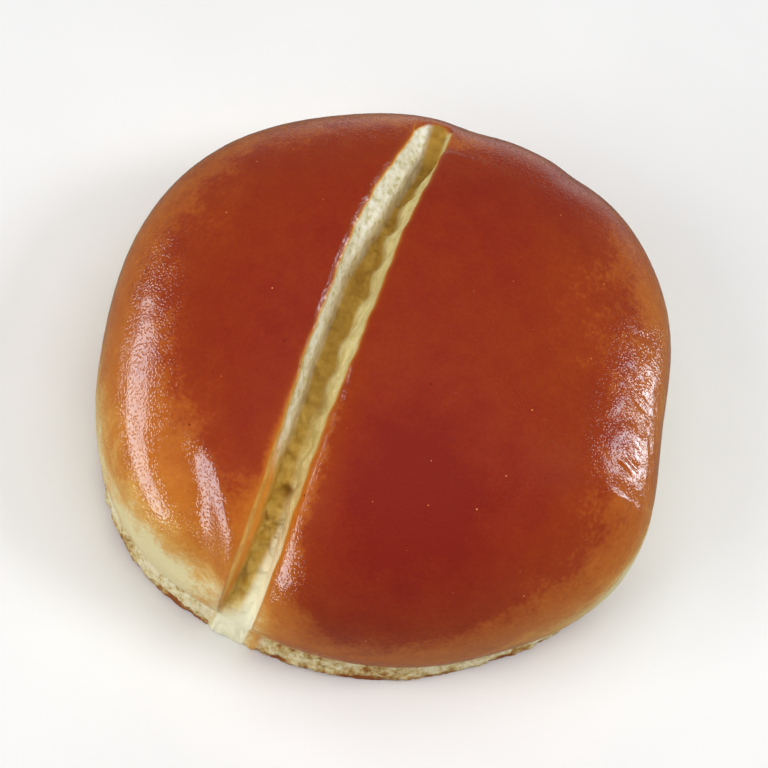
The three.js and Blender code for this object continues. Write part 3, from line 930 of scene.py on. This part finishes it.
def bun_material():
    """Glazed crust, bare crumb in the cut and bare toasted crumb on the foot."""
    material, tree, shader = new_material("baked_crust")
    foot, crumb = attribute(tree, "foot"), attribute(tree, "crumb")
    colour = mix_colour(tree, foot, crust_colour(tree), foot_colour(tree))
    colour = mix_colour(tree, crumb, colour, crumb_colour(tree))
    tree.links.new(colour, shader.inputs["Base Color"])

    bare = math_node(tree, "MAXIMUM", foot, crumb)
    pores = skin_pores(tree)
    skin = span(tree, pores, 0.0, 1.0, SKIN_ROUGHNESS["pore"], SKIN_ROUGHNESS["glaze"])
    pale = span(tree, attribute(tree, "bake"), *PALE_BAKE, 1.0, 0.0)
    skin = mix_value(tree, pale, skin, SKIN_ROUGHNESS["pale"])
    tree.links.new(mix_value(tree, bare, skin, CRUMB_ROUGHNESS), shader.inputs["Roughness"])
    shader.inputs["Specular IOR Level"].default_value = SKIN_SPECULAR

    beads = math_node(tree, "MULTIPLY", texture(tree, LIP_BEADS["size"]), attribute(tree, "beads"))
    beads = math_node(tree, "MULTIPLY", beads, LIP_BEADS["depth"])
    taut_depth = PORE_DEPTH * (1 - TAUT_SKIN["loss"])
    pore_depth = span(tree, attribute(tree, "taut"), 0.0, 1.0, PORE_DEPTH, taut_depth)
    skin_height = math_node(tree, "ADD", math_node(tree, "MULTIPLY", pores, pore_depth), beads)
    crumb_height = math_node(tree, "MULTIPLY", texture(tree, **CRUMB_BUMP), CRUMB_BUMP_DEPTH)
    height = mix_value(tree, bare, skin_height, crumb_height)
    bump = add_node(tree, "ShaderNodeBump", {"Height": height, "Strength": 1.0, "Distance": METRES})
    tree.links.new(bump.outputs["Normal"], shader.inputs["Normal"])
    return material


def floor_material():
    """Plain near-white, faintly mottled."""
    material, tree, shader = new_material("pale_floor")
    tone = ramp(tree, texture(tree, **FLOOR_MOTTLES), FLOOR_COLOURS)
    tree.links.new(tone, shader.inputs["Base Color"])
    shader.inputs["Roughness"].default_value = FLOOR_ROUGHNESS
    return material


# Stage: floor, light and camera

def add_floor():
    """A plain floor that the bun's gloss doesn't mirror."""
    half = FLOOR_SIZE / 2
    corners = [(-half, -half, 0), (half, -half, 0), (half, half, 0), (-half, half, 0)]
    mesh = bpy.data.meshes.new("floor")
    mesh.from_pydata(corners, [], [(0, 1, 2, 3)])
    mesh.materials.append(floor_material())
    floor = bpy.data.objects.new("floor", mesh)
    floor.visible_glossy = False
    bpy.context.scene.collection.objects.link(floor)


def towards(azimuth, elevation):
    """Direction at an azimuth from +Y towards +X and an elevation, in degrees."""
    turn, rise = math.radians(azimuth), math.radians(elevation)
    return Vector((math.sin(turn) * math.cos(rise), math.cos(turn) * math.cos(rise), math.sin(rise)))


def add_light(light, distance, tint, glossy):
    """A rectangular light that faces the bun, seen only in its gloss or only as soft light."""
    data = bpy.data.lights.new(light["name"], "AREA")
    data.shape = "RECTANGLE"
    data.size, data.size_y = light["size"]
    data.energy = light["power"]
    data.color = tint
    lamp = bpy.data.objects.new(light["name"], data)
    away = towards(*light["towards"])
    lamp.location = Vector(LIGHT_AIM) + away * distance
    turn = Quaternion((0, 0, 1), math.radians(light["turn"]))
    lamp.rotation_euler = (away.to_track_quat("Z", "Y") @ turn).to_euler()
    lamp.visible_camera = False
    lamp.visible_glossy = glossy
    lamp.visible_diffuse = not glossy
    bpy.context.scene.collection.objects.link(lamp)


def add_surroundings():
    """Plain white surroundings, dim above and below, and bright low on the far side."""
    world = bpy.data.worlds.new("studio")
    world.use_nodes = True
    tree = world.node_tree
    direction = add_node(tree, "ShaderNodeTexCoord").outputs["Generated"]
    parts = add_node(tree, "ShaderNodeSeparateXYZ", {"Vector": direction})
    low = span(tree, parts.outputs["Y"], *FAR_SIDE, LOW_SURROUNDINGS, FAR_SURROUNDINGS)
    mirrored = add_node(tree, "ShaderNodeLightPath").outputs["Is Glossy Ray"]
    high = span(tree, mirrored, 0.0, 1.0, HIGH_SURROUNDINGS, HIGH_IN_GLOSS)
    strength = span(tree, parts.outputs["Z"], *LOW_SIDE, low, high)
    tree.links.new(strength, tree.nodes["Background"].inputs["Strength"])
    tree.nodes["Background"].inputs["Color"].default_value = (1, 1, 1, 1)
    bpy.context.scene.world = world


def add_lights():
    """Soft lights for the shading, and panels that only the gloss mirrors."""
    bpy.context.scene.view_settings.view_transform = "Standard"
    for light in SOFT_LIGHTS:
        add_light(light, SOFT_DISTANCE, SOFT_TINT, glossy=False)
    for light in GLOSS_LIGHTS:
        add_light(light, GLOSS_DISTANCE, GLOSS_TINT, glossy=True)


def add_camera(shift):
    """A camera that puts the aim point on its pixel of the photograph."""
    rise, turn = math.radians(CAMERA_ELEVATION), math.radians(CAMERA_ROLL)
    back = Vector((0, -math.cos(rise), math.sin(rise)))
    level_right = Vector((1, 0, 0))
    level_up = back.cross(level_right)
    right = level_right * math.cos(turn) + level_up * math.sin(turn)
    up = level_up * math.cos(turn) - level_right * math.sin(turn)
    pixel = CAMERA_DISTANCE / CAMERA_FOCAL_PIXELS
    off_right = (CAMERA_AIM_PIXEL[0] - PHOTO_SIZE / 2) * pixel
    off_down = (CAMERA_AIM_PIXEL[1] - PHOTO_SIZE / 2) * pixel
    aim = (Vector(CAMERA_AIM) - Vector(shift)) * METRES
    eye = aim - right * off_right + up * off_down + back * CAMERA_DISTANCE
    data = bpy.data.cameras.new("photo_camera")
    data.sensor_width = SENSOR_WIDTH
    data.lens = CAMERA_FOCAL_PIXELS * SENSOR_WIDTH / PHOTO_SIZE
    camera = bpy.data.objects.new("photo_camera", data)
    turned = Matrix((right, up, back)).transposed()
    camera.matrix_world = Matrix.Translation(eye) @ turned.to_4x4()
    bpy.context.scene.collection.objects.link(camera)
    bpy.context.scene.camera = camera


bun, bun_shift = bun_piece()
bun.data.materials.append(bun_material())
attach(bun, "root")
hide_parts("bun")
add_floor()
add_surroundings()
add_lights()
add_camera(bun_shift)
